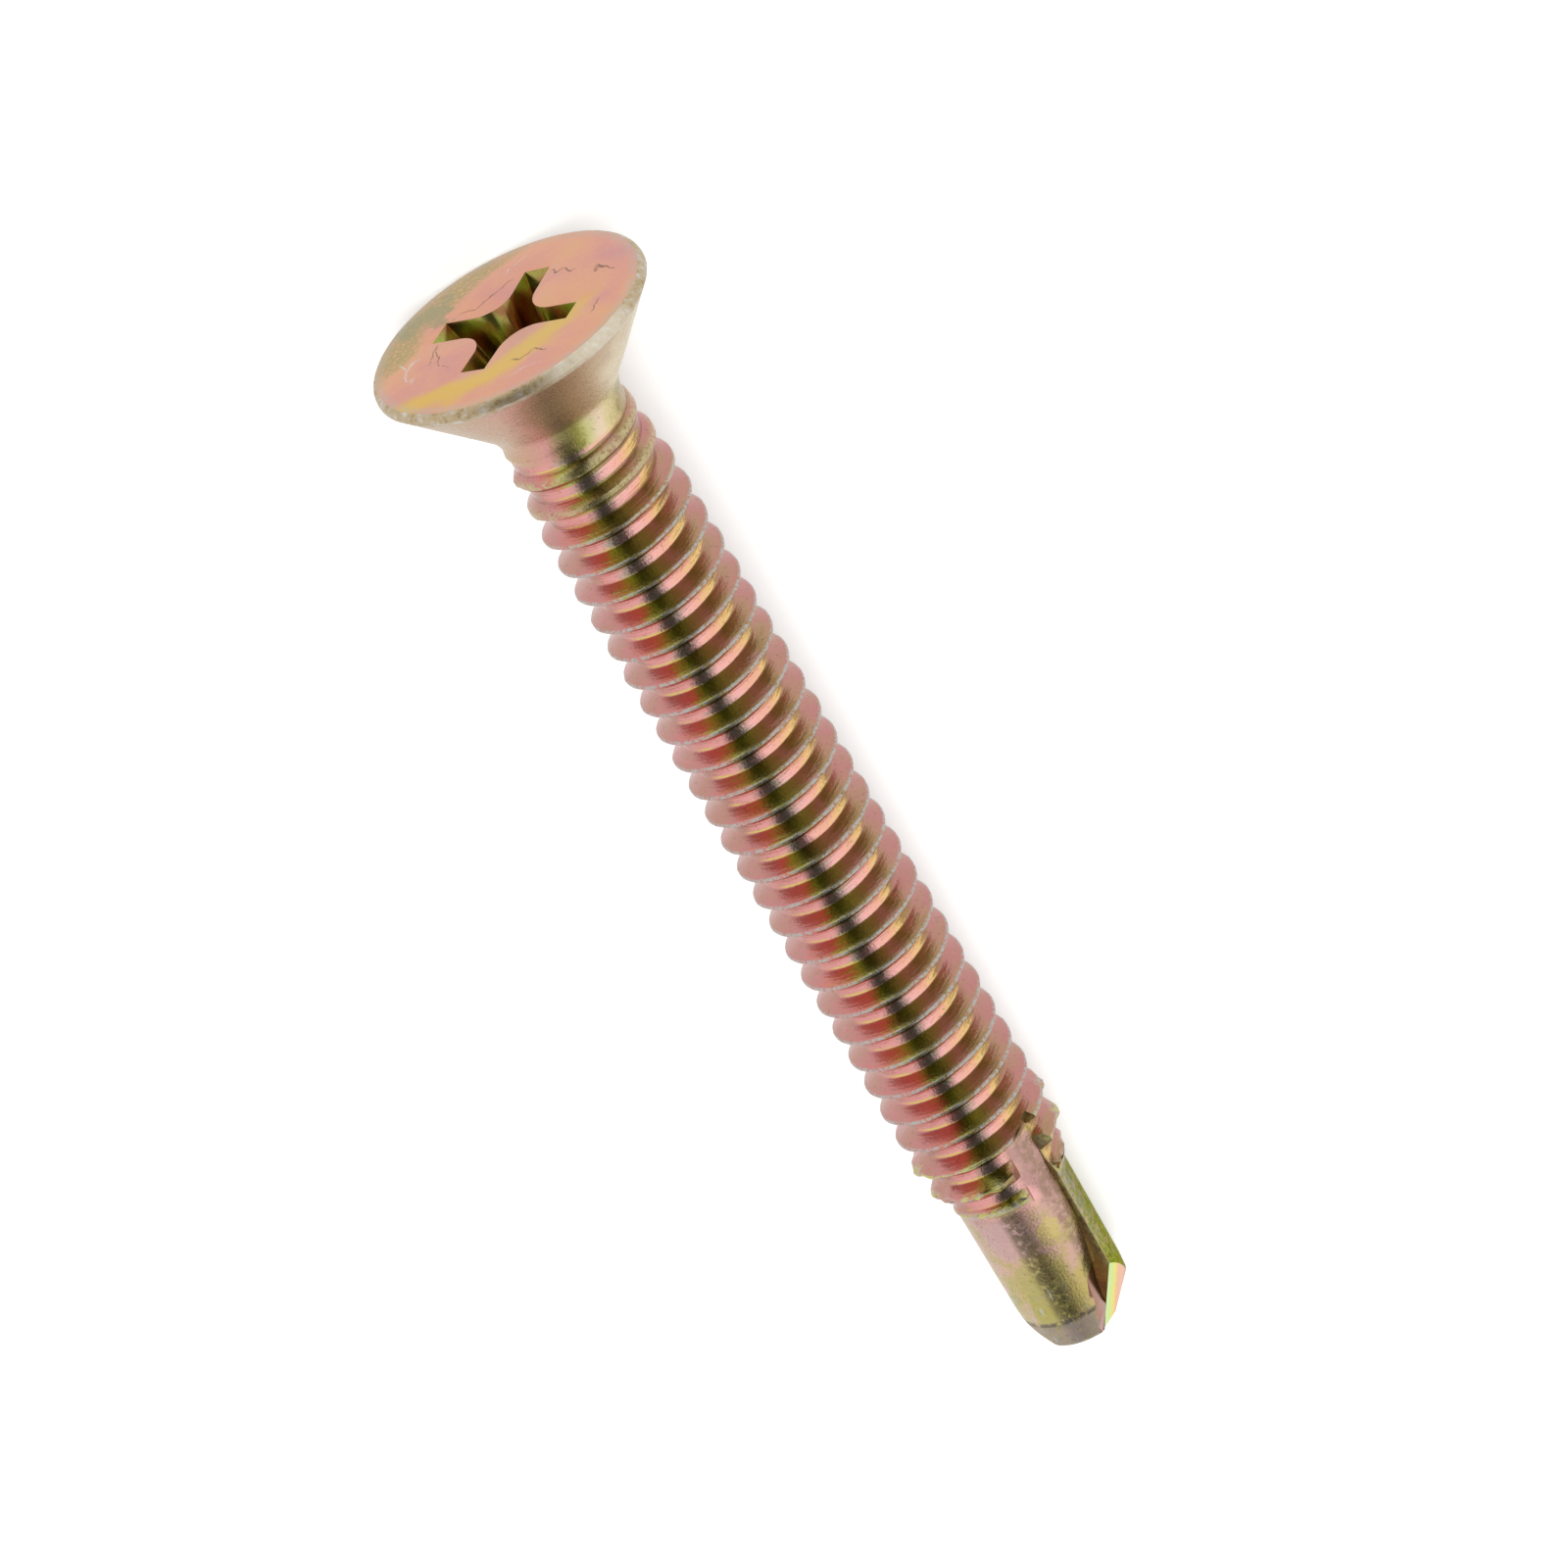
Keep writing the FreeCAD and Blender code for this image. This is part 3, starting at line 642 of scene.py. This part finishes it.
# yellow chromate over zinc: its film turns pink, gold or green with its thickness, as runs of (tone, colour); the
# root, flank, cone and neck runs are read across the screw, so they also paint highlights and shade by side
filmAndPaintedLight = {
    "root": [(0.0, (0.46, 0.23, 0.18)), (0.1, (0.68, 0.3, 0.27)), (0.28, (0.78, 0.35, 0.33)),
             (0.42, (0.42, 0.38, 0.3)), (0.56, (0.94, 0.48, 0.45)), (0.74, (0.92, 0.47, 0.32)),
             (0.84, (0.86, 0.58, 0.22)), (0.93, (0.36, 0.22, 0.09)), (1.0, (0.46, 0.22, 0.18))],
    "flank": [(0.0, (0.5, 0.25, 0.2)), (0.09, (0.56, 0.24, 0.23)), (0.2, (0.62, 0.22, 0.18)),
              (0.27, (0.54, 0.27, 0.13)), (0.34, (0.42, 0.43, 0.1)), (0.42, (0.42, 0.38, 0.12)),
              (0.52, (0.36, 0.29, 0.12)), (0.62, (0.4, 0.26, 0.14)), (0.7, (0.48, 0.26, 0.22)),
              (0.8, (0.32, 0.22, 0.09)), (0.9, (0.46, 0.27, 0.17)), (1.0, (0.52, 0.23, 0.21))],
    "cone": [(0.0, (0.55, 0.42, 0.26)), (0.2, (0.56, 0.36, 0.23)), (0.34, (0.6, 0.33, 0.25)),
             (0.46, (0.42, 0.25, 0.15)), (0.6, (0.46, 0.3, 0.17)), (0.76, (0.56, 0.4, 0.24)),
             (0.9, (0.78, 0.66, 0.44)), (1.0, (0.62, 0.48, 0.3))],
    "neck": [(0.0, (0.58, 0.42, 0.26)), (0.16, (0.62, 0.36, 0.26)), (0.3, (0.7, 0.34, 0.31)),
             (0.4, (0.46, 0.38, 0.16)), (0.5, (0.36, 0.33, 0.08)), (0.58, (0.6, 0.58, 0.24)),
             (0.7, (0.86, 0.68, 0.5)), (0.82, (0.74, 0.62, 0.32)), (0.92, (0.42, 0.33, 0.14)),
             (1.0, (0.55, 0.42, 0.26))],
    "point": [(0.08, (0.56, 0.32, 0.29)), (0.3, (0.7, 0.44, 0.36)), (0.44, (0.6, 0.44, 0.24)),
              (0.54, (0.56, 0.45, 0.17)), (0.66, (0.44, 0.4, 0.14)), (0.78, (0.5, 0.42, 0.2)),
              (0.92, (0.52, 0.44, 0.32))],
    "fin": [(0.34, (0.1, 0.08, 0.02)), (0.44, (0.22, 0.28, 0.04)), (0.56, (0.3, 0.36, 0.05)),
            (0.68, (0.44, 0.36, 0.08))],
    "rim": [(0.32, (0.3, 0.23, 0.14)), (0.44, (0.52, 0.4, 0.22)), (0.55, (0.56, 0.46, 0.34)),
            (0.66, (0.66, 0.61, 0.54))],
    "face": [(0.25, (0.7, 0.42, 0.2)), (0.42, (0.74, 0.37, 0.23)), (0.58, (0.7, 0.33, 0.25)),
             (0.75, (0.64, 0.3, 0.28))],
    # the recess gets darker colours than the face: painted shade
    "recess": [(0.35, (0.36, 0.44, 0.1)), (0.48, (0.36, 0.3, 0.08)), (0.62, (0.34, 0.16, 0.07))],
    "heel": [(0.35, (0.44, 0.2, 0.14)), (0.55, (0.4, 0.2, 0.13)), (0.7, (0.36, 0.22, 0.13))],
    "cutting": [(0.35, (0.24, 0.18, 0.1)), (0.5, (0.36, 0.32, 0.13)), (0.65, (0.44, 0.44, 0.17))],
    "lip": [(0.05, (0.66, 0.84, 0.36)), (0.2, (0.66, 0.82, 0.3)), (0.32, (0.9, 0.76, 0.16)),
            (0.46, (0.88, 0.52, 0.3)), (0.66, (0.9, 0.52, 0.4)), (0.88, (0.6, 0.42, 0.26))],
    # the rubbed edges are pale: rubbed metal, and a painted highlight along the edges
    "rubbed": [(0.38, (0.95, 0.64, 0.62)), (0.5, (0.84, 0.66, 0.52)), (0.64, (0.6, 0.54, 0.34))],
}
# bare or rubbed metal, a painted highlight for the rim, and the metal's tint where it is seen edge on
metal = {
    "silver": (0.47, 0.45, 0.42),
    "gold": (0.55, 0.46, 0.25),
    "paintedRimHighlight": (0.86, 0.8, 0.66),
    "edgeOn": (1, 1, 1),
    "finEdgeOn": (0.5, 0.52, 0.22),
}
# marks in the film, some of them painted highlights and painted shade: colour, the range of noise that breaks them
# up, and strength
marks = {
    "paintedRootHighlight": ((0.7, 0.52, 0.16), (0.36, 0.56), 1),
    "paintedShadeBrown": ((0.34, 0.23, 0.15), (0.38, 0.56), 0.75),
    "paintedDarkReflection": ((0.13, 0.1, 0.05), (0.36, 0.5), 0.7),
    "groundEnd": ((0.46, 0.38, 0.35), (0.3, 0.5), 0.75),
    "groundLine": ((0.12, 0.1, 0.08), (0.36, 0.5), 0.8),
    "zinc": ((0.5, 0.52, 0.54), (0.62, 0.68), 0.8),
    "burr": ((0.58, 0.56, 0.16), (0.42, 0.55), 1),
    "smut": ((0.16, 0.11, 0.06), (0.56, 0.7), 0.6),
    "green": ((0.36, 0.32, 0.12), (0.3, 0.55), 0.8),
    "scuff": ((0.6, 0.56, 0.52), (0.62, 0.7), 0.6),
    "faceEdge": ((0.5, 0.46, 0.38), (0.35, 0.6), 0.6),
}
# where the finish changes, as (from, to) along the screw, across it or out from its axis
zones = {
    "coneToNeck": (2.5, 3.1),
    "neckToThread": (3.75, 4.0),
    "silverToGold": (7.5, 5),
    "besideFlute": (30.8, 31.2),
    "threadToPoint": (32.7, 33.3),
    "pointTone": (33, 38.5),
    "zinc": (35.5, 37),
    "groundEnd": (37.2, 37.6),
    "fin": (0.68, 0.74),
    "finEdgeOn": (0.6, 0.74),
    "paintedDarkReflection": (0, 0.5),
    "rimOut": (4.1, 4.3),
    "rimBack": (0.55, 0.42),
    "faceEdge": (3.9, 4.2),
    "paintedRootHighlight": (0.56, 0.65),
    "roughNeck": (4.0, 3.5),
    "roughEnd": (37.4, 37.5),
    "pittedNeck": (4.2, 3.6),
}
# roughness and pits of the shank, as what each place adds
surface = {
    "grain": (0.1, 0.2),
    "pointRough": 0.12,
    "neckRough": (0.0, 0.14),
    "endRough": (0.0, 0.3),
    "wornRough": 0.12,
    "pointPits": 0.7,
    "neckPits": (0.55, 0.9),
    "streaks": 0.45,
}
# bands as (starts, full from, full to, ends)
bands = {
    "root": (0.32, 0.35, 0.65, 0.68),
    "paintedRootHighlight": (-0.95, -0.7, -0.4, -0.25),
    "besideFlute": (0.1, 0.22, 0.7, 0.76),
    "paintedShadeBrown": (0.3, 0.44, 0.6, 0.68),
    "paintedDarkReflection": (-0.55, -0.4, -0.25, -0.05),
    "groundLine": (37.3, 37.4, 37.46, 37.54),
    "burr": (30.2, 31.2, 32.8, 33.2),
    "paintedRimHighlight": (-0.05, 0.15, 0.6, 0.8),
    "gold": (4.35, 4.8, 5.2, 5.9),
}


def inZone(tree, value, name, newLow=0.0, newHigh=1.0, smooth=True):
    return rangeOf(tree, value, *zones[name], newLow, newHigh, smooth)


def inBand(tree, value, name):
    start, full, fade, end = bands[name]
    return product(tree, rangeOf(tree, value, start, full), rangeOf(tree, value, end, fade))


def paint(tree, under, tint, *masks):
    return blend(tree, product(tree, *masks), under, tint)


def marked(tree, under, name, noiseValue, *masks):
    tint, breaks, strength = marks[name]
    return paint(tree, under, tint, *masks, rangeOf(tree, noiseValue, *breaks), strength)


def finishMaterial(name, roughness):
    material = bpy.data.materials.new(name)
    material.use_nodes = True
    tree = material.node_tree
    shader = tree.nodes["Principled BSDF"]
    shader.inputs["Metallic"].default_value = 1
    shader.inputs["Roughness"].default_value = roughness
    return material, tree, shader


# patches on the drill point as (place, full radius, outer radius, colour); the pale pink one near the thread's end is
# a painted highlight, the others film colour
pointMarks = [
    ((0.31, 1.77, 34.22), 0.34, 0.42, (0.66, 0.53, 0.2)),
    # painted highlight
    ((0.12, 1.8, 32.9), 0.3, 0.6, (0.95, 0.5, 0.48)),
    ((-0.9, 1.56, 35.6), 0.5, 0.8, (0.5, 0.43, 0.16)),
    ((-0.95, 1.5, 37.0), 0.5, 0.8, (0.48, 0.42, 0.13)),
    ((0.3, 1.7, 36.4), 0.35, 0.6, (0.58, 0.46, 0.16)),
    ((-1.0, 1.45, 34.0), 0.6, 1.0, (0.62, 0.4, 0.38)),
]


def threadColour(tree, here, filmAndSheenTone):
    place, across, phase = here["place"], here["across"], here["phase"]
    streaks = speckle(tree, here["streaks"], "streaks")
    rolled = jitter(tree, filmAndSheenTone, streaks, 0.25, 0.07)
    # painted highlight: a yellow band along the root's edge on one side of the screw
    root = marked(tree, ramp(tree, rolled, filmAndPaintedLight["root"]), "paintedRootHighlight", speckle(tree, place, "broken"),
                  inBand(tree, across, "paintedRootHighlight"), inZone(tree, phase, "paintedRootHighlight"))
    thread = blend(tree, inBand(tree, phase, "root"), ramp(tree, rolled, filmAndPaintedLight["flank"]), root)
    return thread, streaks


def pointColour(tree, here, coarse, grain):
    place, along, across = here["place"], here["along"], here["across"]
    tone = maths(tree, "ADD", rangeOf(tree, speckle(tree, place, "blotch"), 0.2, 0.8, 0.0, 1.0, False),
                 inZone(tree, along, "pointTone", -0.25, 0.25, False))
    bare = ramp(tree, jitter(tree, tone, grain, 0.2, 0.12), filmAndPaintedLight["point"])
    bare = paint(tree, bare, ramp(tree, speckle(tree, place, "fin"), filmAndPaintedLight["fin"]),
                 inZone(tree, across, "fin"), rangeOf(tree, coarse, 0.35, 0.55), 0.9)
    # painted shade: a darker brown band on one side of the land
    bare = marked(tree, bare, "paintedShadeBrown", coarse, inBand(tree, across, "paintedShadeBrown"))
    for spot, near, far, tint in pointMarks:
        off = jitter(tree, distanceTo(tree, place, spot), coarse, 0.3, 0.12)
        bare = paint(tree, bare, tint, rangeOf(tree, off, far, near), 0.8)
    # painted reflection: a dark streak along the upper side of the land, where the dark strip overhead is reflected
    bare = marked(tree, bare, "paintedDarkReflection", coarse, inBand(tree, across, "paintedDarkReflection"), inZone(tree, here["y"], "paintedDarkReflection"))
    bare = marked(tree, bare, "groundEnd", coarse, inZone(tree, along, "groundEnd"))
    bare = marked(tree, bare, "groundLine", coarse, inBand(tree, along, "groundLine"))
    return marked(tree, bare, "zinc", speckle(tree, here["flecks"], "flecks"), inZone(tree, along, "zinc"))


def shankFinish():
    material, tree, shader = finishMaterial("chromateShank", 0.16)
    here = screwFrame(tree)
    place, along, across = here["place"], here["along"], here["across"]
    grain, coarse = speckle(tree, place, "grain"), speckle(tree, place, "coarse")
    # the tone runs across the screw, from 0 at one side to 1 at the other, so the ramps paint highlights and shade by
    # side along with the film's colours
    tone = maths(tree, "MULTIPLY_ADD", across, 0.5)
    tone.node.inputs[2].default_value = 0.5
    filmAndSheenTone = jitter(tree, jitter(tree, tone, speckle(tree, place, "drift"), 0.25, 0.1), grain, 0.2, 0.05)
    thread, streaks = threadColour(tree, here, filmAndSheenTone)
    under = blend(tree, inZone(tree, along, "coneToNeck"), ramp(tree, filmAndSheenTone, filmAndPaintedLight["cone"]),
                  ramp(tree, filmAndSheenTone, filmAndPaintedLight["neck"]))
    colour = blend(tree, inZone(tree, along, "neckToThread"), under, thread)
    # the drill point's finish runs up beside the flutes
    upright = product(tree, across, maths(tree, "SIGN", here["y"]))
    besideFlute = product(tree, inBand(tree, upright, "besideFlute"), inZone(tree, along, "besideFlute"))
    onPoint = maths(tree, "MAXIMUM", inZone(tree, along, "threadToPoint"), besideFlute)
    colour = blend(tree, onPoint, colour, pointColour(tree, here, coarse, grain))
    # crests worn to the metal, burrs, smuts
    crest = addNode(tree, "ShaderNodeAttribute", attribute_name="crest").outputs["Fac"]
    worn = blend(tree, inZone(tree, along, "silverToGold"), metal["silver"], metal["gold"])
    colour = paint(tree, colour, worn, crest, rangeOf(tree, speckle(tree, place, "specks"), 0.4, 0.54))
    colour = marked(tree, colour, "burr", coarse, inBand(tree, along, "burr"), crest)
    colour = marked(tree, colour, "smut", speckle(tree, place, "smuts"))
    # rim of the head, rubbed to the zinc in places, with a painted cream highlight on one side
    onRim = product(tree, inZone(tree, here["radius"], "rimOut"), inZone(tree, along, "rimBack"))
    rubbed = ramp(tree, speckle(tree, place, "rim"), filmAndPaintedLight["rim"])
    rubbed = paint(tree, rubbed, metal["paintedRimHighlight"], inBand(tree, across, "paintedRimHighlight"), 0.5)
    colour = blend(tree, onRim, colour, rubbed)
    tree.links.new(colour, shader.inputs["Base Color"])
    onFin = product(tree, onPoint, inZone(tree, across, "finEdgeOn"))
    tree.links.new(blend(tree, onFin, metal["edgeOn"], metal["finEdgeOn"]), shader.inputs["Specular Tint"])
    rough = maths(tree, "ADD", rangeOf(tree, grain, 0.3, 0.7, *surface["grain"]),
                  product(tree, onPoint, surface["pointRough"]))
    rough = maths(tree, "ADD", rough, inZone(tree, along, "roughNeck", *surface["neckRough"]))
    rough = maths(tree, "ADD", rough, inZone(tree, along, "roughEnd", *surface["endRough"]))
    worn = product(tree, maths(tree, "ADD", onRim, crest), surface["wornRough"])
    tree.links.new(maths(tree, "ADD", rough, worn), shader.inputs["Roughness"])
    pitted = maths(tree, "ADD", product(tree, onPoint, surface["pointPits"]),
                   inZone(tree, along, "pittedNeck", *surface["neckPits"]))
    height = maths(tree, "ADD", product(tree, speckle(tree, place, "pits"), pitted),
                   product(tree, streaks, surface["streaks"]))
    bumped(tree, shader, height, 0.5, 0.03)
    return material


# hair scratches on the face as (from, to), in its plane
hairs = {
    "dark": [((-2.2, 0.9), (-2.1, -1.0)), ((-2.6, 0.0), (-2.1, -1.1)), ((2.1, 2.4), (2.7, 1.7)),
             ((1.8, -1.6), (2.4, -0.6)), ((-1.3, -1.9), (0.9, -2.2)), ((2.9, -0.2), (3.6, 0.6)),
             ((-0.6, 2.4), (0.8, 2.9))],
    "pale": [((-3.3, 0.6), (-3.2, -1.2)), ((-3.5, -0.2), (-2.7, -0.9)), ((0.5, -3.0), (1.6, -3.4)),
             ((-1.0, 3.2), (0.4, 3.6))],
    "darkColour": (0.16, 0.09, 0.05),
    "darkStrength": 0.85,
    "paleColour": (0.66, 0.62, 0.58),
    "paleStrength": 0.75,
    "width": 0.045,
}
# face of the head: a gold band and a spill round these spots, green film below a slanting line
faceFilm = {
    "goldSpot": (-1.2, -2.6, 0),
    "goldFrom": (0.9, 1.7),
    "gold": (0.72, 0.48, 0.08),
    "slant": 0.55,
    "greenFrom": (-3.1, -4.0),
    "spillSpot": (-2.0, -2.9, 0),
    "spillReach": (1.0, 0.55),
    "spill": (0.34, 0.31, 0.16),
}


def hairline(tree, place, first, second):
    first, second, width = Vector(first), Vector(second), hairs["width"]
    span = second - first
    length = span.length
    ahead, aside = span / length, Vector((-span.y, span.x)) / length
    run = distanceAlong(tree, place, (ahead.x, ahead.y, 0))
    off = distanceAlong(tree, place, (aside.x, aside.y, 0))
    start = ahead.dot(first)
    off = jitter(tree, maths(tree, "SUBTRACT", off, aside.dot(first)), speckle(tree, place, "bend"), 0.3, 0.25)
    near = rangeOf(tree, maths(tree, "ABSOLUTE", off), width, width * 0.35)
    within = product(tree, rangeOf(tree, run, start, start + 0.3 * length),
                     rangeOf(tree, run, start + length, start + 0.8 * length))
    return product(tree, near, within, rangeOf(tree, speckle(tree, place, "gaps"), 0.32, 0.45))


def faceFinish():
    material, tree, shader = finishMaterial("chromateFace", 0.34)
    here = screwFrame(tree)
    place, x, y = here["place"], here["x"], here["y"]
    drift, grain = speckle(tree, place, "faceDrift"), speckle(tree, place, "faceGrain")
    colour = ramp(tree, jitter(tree, drift, grain, 0.3, 0.06), filmAndPaintedLight["face"])
    arc = jitter(tree, distanceTo(tree, place, faceFilm["goldSpot"]), drift, 0.3, 0.35)
    colour = paint(tree, colour, faceFilm["gold"], inBand(tree, arc, "gold"),
                   rangeOf(tree, y, *faceFilm["goldFrom"]), 0.85)
    low = jitter(tree, maths(tree, "ADD", y, maths(tree, "MULTIPLY", x, faceFilm["slant"])), drift, 0.3, 0.9)
    colour = marked(tree, colour, "green", grain, rangeOf(tree, low, *faceFilm["greenFrom"]))
    spill = jitter(tree, distanceTo(tree, place, faceFilm["spillSpot"]), speckle(tree, place, "spill"), 0.3, 0.7)
    colour = paint(tree, colour, faceFilm["spill"], rangeOf(tree, spill, *faceFilm["spillReach"]), 0.75)
    for kind in ("dark", "pale"):
        for start, stop in hairs[kind]:
            colour = paint(tree, colour, hairs[kind + "Colour"], hairline(tree, place, start, stop),
                           hairs[kind + "Strength"])
    colour = marked(tree, colour, "scuff", speckle(tree, place, "scuffs"))
    colour = marked(tree, colour, "faceEdge", grain, inZone(tree, here["radius"], "faceEdge"))
    tree.links.new(colour, shader.inputs["Base Color"])
    bumped(tree, shader, speckle(tree, place, "facePits"), 0.25, 0.03)
    return material


# recess, flute walls and rubbed edges: name, roughness, spread of the tone, pits as (grain, strength, depth)
wallLooks = {
    "recess": ("chromateRecessPaintedShade", 0.2, 0.06, None),
    "heel": ("chromateHeel", 0.24, 0, ("heelPits", 0.2, 0.02)),
    "cutting": ("chromateCutting", 0.28, 0.1, ("pits", 0.5, 0.03)),
    "rubbed": ("rubbedEdgesAndHighlight", 0.4, 0, None),
}


def wallFinish(kind):
    name, roughness, spread, pits = wallLooks[kind]
    material, tree, shader = finishMaterial(name, roughness)
    place = screwPlace(tree)
    tone = speckle(tree, place, kind)
    if spread:
        tone = jitter(tree, tone, speckle(tree, place, "walls"), 0.3, spread)
    tree.links.new(ramp(tree, tone, filmAndPaintedLight[kind]), shader.inputs["Base Color"])
    if pits:
        grain, strength, depth = pits
        bumped(tree, shader, speckle(tree, place, grain), strength, depth)
    return material


def lipFinish():
    # the film changes with the distance from the cutting wall
    material, tree, shader = finishMaterial("chromateLip", 0.14)
    place = screwPlace(tree)
    offWall = maths(tree, "ABSOLUTE", distanceAlong(tree, place, behindWall()))
    tone = jitter(tree, offWall, speckle(tree, place, "lip"), 0.3, 0.04)
    tree.links.new(ramp(tree, tone, filmAndPaintedLight["lip"]), shader.inputs["Base Color"])
    return material


finishes = {
    "shank": shankFinish(),
    "face": faceFinish(),
    "recess": wallFinish("recess"),
    "heel": wallFinish("heel"),
    "cutting": wallFinish("cutting"),
    "lip": lipFinish(),
    "rubbed": wallFinish("rubbed"),
}
for name in finishPlaces:
    screw.data.materials.append(finishes[name])
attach(screw, "root")
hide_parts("screw")
print("chromate finishes made")

# studio: white ground under an overhead lamp; in reflections both sides are light, with a dark strip
# overhead where the camera stands
studio = {
    "ground": 2.0,
    "groundGlow": 0.35,
    "groundShine": 1.0,
    "paper": (0.88, 0.88, 0.88, 1),
    "white": (1, 1, 1),
    "dark": (0.09, 0.085, 0.08),
    "fill": (0.45, 0.45, 0.45),
    "strips": [(0.0, "white"), (0.48, "white"), (0.53, "dark"), (0.71, "dark"), (0.76, "white"), (1.0, "white")],
    "lampPlace": (0.0, -0.1, 0.6),
    "lampSize": (0.7, 0.3),
    "lampPower": 3.0,
}


def buildGround():
    bm = bmesh.new()
    bmesh.ops.create_circle(bm, cap_ends=True, segments=64, radius=studio["ground"])
    ground = newObject("studioGround", bm)
    material = bpy.data.materials.new("groundPaper")
    material.use_nodes = True
    tree = material.node_tree
    tree.nodes.clear()
    rays = addNode(tree, "ShaderNodeLightPath")
    seen = maths(tree, "MAXIMUM", rays.outputs["Is Camera Ray"], rays.outputs["Is Transmission Ray"])
    glow = addNode(tree, "ShaderNodeEmission", {"Color": (1, 1, 1, 1),
                                                "Strength": maths(tree, "MULTIPLY", seen, studio["groundGlow"])})
    paper = addNode(tree, "ShaderNodeBsdfDiffuse", {"Color": studio["paper"]})
    lit = addNode(tree, "ShaderNodeAddShader", {0: glow.outputs[0], 1: paper.outputs[0]})
    shine = addNode(tree, "ShaderNodeEmission", {"Color": (1, 1, 1, 1), "Strength": studio["groundShine"]})
    both = addNode(tree, "ShaderNodeMixShader", {0: rays.outputs["Is Glossy Ray"], 1: lit.outputs[0],
                                                 2: shine.outputs[0]})
    addNode(tree, "ShaderNodeOutputMaterial", {"Surface": both.outputs[0]})
    ground.data.materials.append(material)


def buildWorld():
    world = bpy.data.worlds.new("studioWorld")
    bpy.context.scene.world = world
    world.use_nodes = True
    tree = world.node_tree
    tree.nodes.clear()
    direction = addNode(tree, "ShaderNodeTexCoord").outputs["Generated"]
    parts = addNode(tree, "ShaderNodeSeparateXYZ", {0: direction})
    around = maths(tree, "ARCTAN2", parts.outputs["Z"], parts.outputs["Y"])
    share = maths(tree, "DIVIDE", around, math.pi)
    strips = ramp(tree, share, [(place, studio[tone]) for place, tone in studio["strips"]])
    rays = addNode(tree, "ShaderNodeLightPath")
    shown = blend(tree, rays.outputs["Is Glossy Ray"], studio["fill"], strips)
    seen = maths(tree, "MAXIMUM", rays.outputs["Is Camera Ray"], rays.outputs["Is Transmission Ray"])
    shown = blend(tree, seen, shown, studio["white"])
    back = addNode(tree, "ShaderNodeBackground", {"Color": shown, "Strength": 1.0})
    addNode(tree, "ShaderNodeOutputWorld", {"Surface": back.outputs[0]})


def buildLamp(name, place, size, power):
    lamp = bpy.data.lights.new(name, "AREA")
    lamp.shape = "RECTANGLE"
    lamp.size, lamp.size_y = size
    lamp.energy = power
    made = bpy.data.objects.new(name, lamp)
    made.location = place
    made.rotation_euler = (-Vector(place)).to_track_quat("-Z", "Y").to_euler()
    made.visible_glossy = False
    bpy.context.scene.collection.objects.link(made)


buildGround()
buildWorld()
buildLamp("overheadSoftbox", studio["lampPlace"], studio["lampSize"], studio["lampPower"])
print("studio built")

# camera: a long lens from above, looking a little along the screw from the head's side
view = {
    "lens": 308.4,
    "sensor": 36,
    "clip": (0.01, 10),
    "right": (0.44939, 0.86296, 0.23098),
    "downward": (0.76751, -0.50527, 0.39449),
    "across": -8.07,
    "down": -13.43,
    "away": 390.1,
}


def fromScrew(along, side, up):
    return alongDir * along + sideDir * side + upDir * up


cameraRight = fromScrew(*view["right"])
cameraDown = fromScrew(*view["downward"])
cameraForward = cameraRight.cross(cameraDown)
cameraRight.normalize()
cameraForward.normalize()
cameraDown = cameraForward.cross(cameraRight)
lens = bpy.data.cameras.new("photoCamera")
lens.lens = view["lens"]
lens.sensor_width = view["sensor"]
lens.clip_start, lens.clip_end = view["clip"]
camera = bpy.data.objects.new("photoCamera", lens)
offset = cameraRight * view["across"] + cameraDown * view["down"] + cameraForward * view["away"]
turned = Matrix((cameraRight, -cameraDown, -cameraForward)).transposed()
camera.matrix_world = Matrix.Translation(headCentre - offset * 0.001) @ turned.to_4x4()
bpy.context.scene.collection.objects.link(camera)
bpy.context.scene.camera = camera
bpy.context.scene.view_settings.view_transform = "Standard"
print("camera placed")
